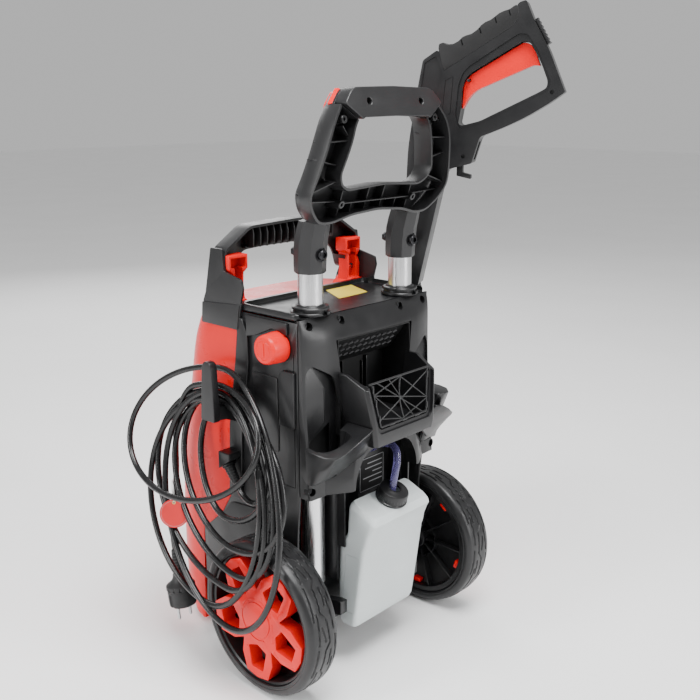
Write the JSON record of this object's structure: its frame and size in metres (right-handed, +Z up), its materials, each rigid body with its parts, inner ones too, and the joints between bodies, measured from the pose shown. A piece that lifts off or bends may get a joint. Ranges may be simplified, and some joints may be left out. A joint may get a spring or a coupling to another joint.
{
  "type": "upright pressure washer",
  "caption": "Upright electric pressure washer on rear wheels: lift-up pull handle, carry handle, spray gun and lance in a holster, detergent bottle, coiled mains lead.",
  "frame": {"origin": "middle of the outline's base, on the floor that the wheels and the front foot stand on, leaving out the mains lead", "axes": "+Z up, -Y the front with the red shell and the water connections, +Y the rear with the bin and bottle, +X the machine's left side with the switch and the mains lead"},
  "size_m": [0.4638, 0.4364, 0.839],
  "materials": {
    "red_plastic": "satin moulded",
    "black_plastic": "fine grained",
    "grey_plastic": "fine grained",
    "handle_aluminium": "drawn, clear anodised",
    "cast_aluminium": "as cast",
    "steel": "bright",
    "laminated_steel": "ground",
    "winding_copper": "enamelled wire",
    "brass": "machined",
    "tyre_rubber": "moulded",
    "rubber": "moulded",
    "cable_rubber": "smooth sheath",
    "bottle_plastic": "natural, translucent",
    "hose_plastic": "clear",
    "tag_card": "coated card"
  },
  "bodies": {
    "machine": {"front_shell": "red_plastic", "front_panel": "grey_plastic", "left_side_shell": "black_plastic", "right_side_shell": "black_plastic", "base_tray": "black_plastic", "chassis_back": "black_plastic", "front_foot": "rubber", "top_cover": "black_plastic", "tube_collar_left": "black_plastic", "tube_collar_right": "black_plastic", "rear_cover": "black_plastic", "recess_lining": "black_plastic", "bin_grille": "black_plastic", "carry_handle": "grey_plastic", "axle": "steel", "gun_holster": "black_plastic", "switch_unit": "grey_plastic", "cable_hook": "black_plastic", "suction_hose": "hose_plastic", "motor_housing": "cast_aluminium", "motor_windings": "winding_copper", "gearbox": "cast_aluminium", "pump_head": "steel", "pump_plunger_1": "steel", "pump_plunger_2": "steel", "pump_plunger_3": "steel", "water_inlet": "black_plastic", "pressure_outlet": "brass", "run_capacitor": "cast_aluminium", "cord_gland": "black_plastic", "cord_coil": "cable_rubber", "cord_lead": "cable_rubber", "cord_loop": "cable_rubber", "cord_tail": "cable_rubber", "mains_plug": "rubber", "hang_tag": "tag_card"},
    "transport_handle": {"handle_frame": "grey_plastic", "grip_cover": "grey_plastic", "handle_tube_left": "handle_aluminium", "handle_tube_right": "handle_aluminium", "sleeve_bolt_left": "steel", "sleeve_bolt_right": "steel"},
    "wheel_left": {"tyre_left": "tyre_rubber", "rim_left": "black_plastic", "wheel_cover_left": "red_plastic"},
    "wheel_right": {"tyre_right": "tyre_rubber", "rim_right": "black_plastic", "wheel_cover_right": "red_plastic"},
    "switch_knob": {"power_knob": "red_plastic"},
    "spray_gun": {"gun_shell": "black_plastic", "gun_grip_overlay": "black_plastic", "gun_trigger_pin": "steel", "gun_lance": "steel"},
    "trigger": {"gun_trigger": "red_plastic"},
    "gun_lock": {"gun_lock_slider": "grey_plastic"},
    "bottle": {"detergent_bottle": "bottle_plastic"},
    "cap": {"bottle_cap": "black_plastic"},
    "rotor": {"motor_rotor": "laminated_steel", "cooling_fan": "black_plastic", "swash_plate": "steel"}
  },
  "joints": [
    {"name": "handle_slide", "type": "slide", "parent": "machine", "child": "transport_handle", "axis": [0, 0, 1], "range_m": [0, 0.22]},
    {"name": "wheel_left_spin", "type": "hinge", "parent": "machine", "child": "wheel_left", "pos_m": [0.1894, 0.0598, 0.1], "axis": [1, 0, 0], "continuous": true},
    {"name": "wheel_right_spin", "type": "hinge", "parent": "machine", "child": "wheel_right", "pos_m": [-0.1236, 0.0598, 0.1], "axis": [1, 0, 0], "continuous": true},
    {"name": "switch_turn", "type": "hinge", "parent": "machine", "child": "switch_knob", "pos_m": [0.1545, 0.0498, 0.436], "axis": [1, 0, 0], "range_deg": [0, 90]},
    {"name": "gun_lift", "type": "slide", "parent": "machine", "child": "spray_gun", "axis": [0, 0, 1], "range_m": [0, 0.16]},
    {"name": "trigger_pull", "type": "hinge", "parent": "spray_gun", "child": "trigger", "pos_m": [-0.14454, 0.10131, 0.7435], "axis": [0.8988, 0.4384, 0], "range_deg": [0, 8], "stiffness_Nm_per_rad": 2, "springref_deg": -14.32},
    {"name": "lock_slide", "type": "slide", "parent": "spray_gun", "child": "gun_lock", "axis": [0.2164, -0.4436, 0.8697], "range_m": [0, 0.005]},
    {"name": "bottle_slide", "type": "slide", "parent": "machine", "child": "bottle", "axis": [0, 1, 0], "range_m": [0, 0.06], "deforming": ["suction_hose"]},
    {"name": "cap_turn", "type": "hinge", "parent": "bottle", "child": "cap", "pos_m": [0.0329, 0.1233, 0.2225], "axis": [0, 0.3714, 0.9285], "continuous": true},
    {"name": "rotor_spin", "type": "hinge", "parent": "machine", "child": "rotor", "pos_m": [0.0329, -0.0502, 0.3], "axis": [0, 0, 1], "continuous": true}
  ]
}
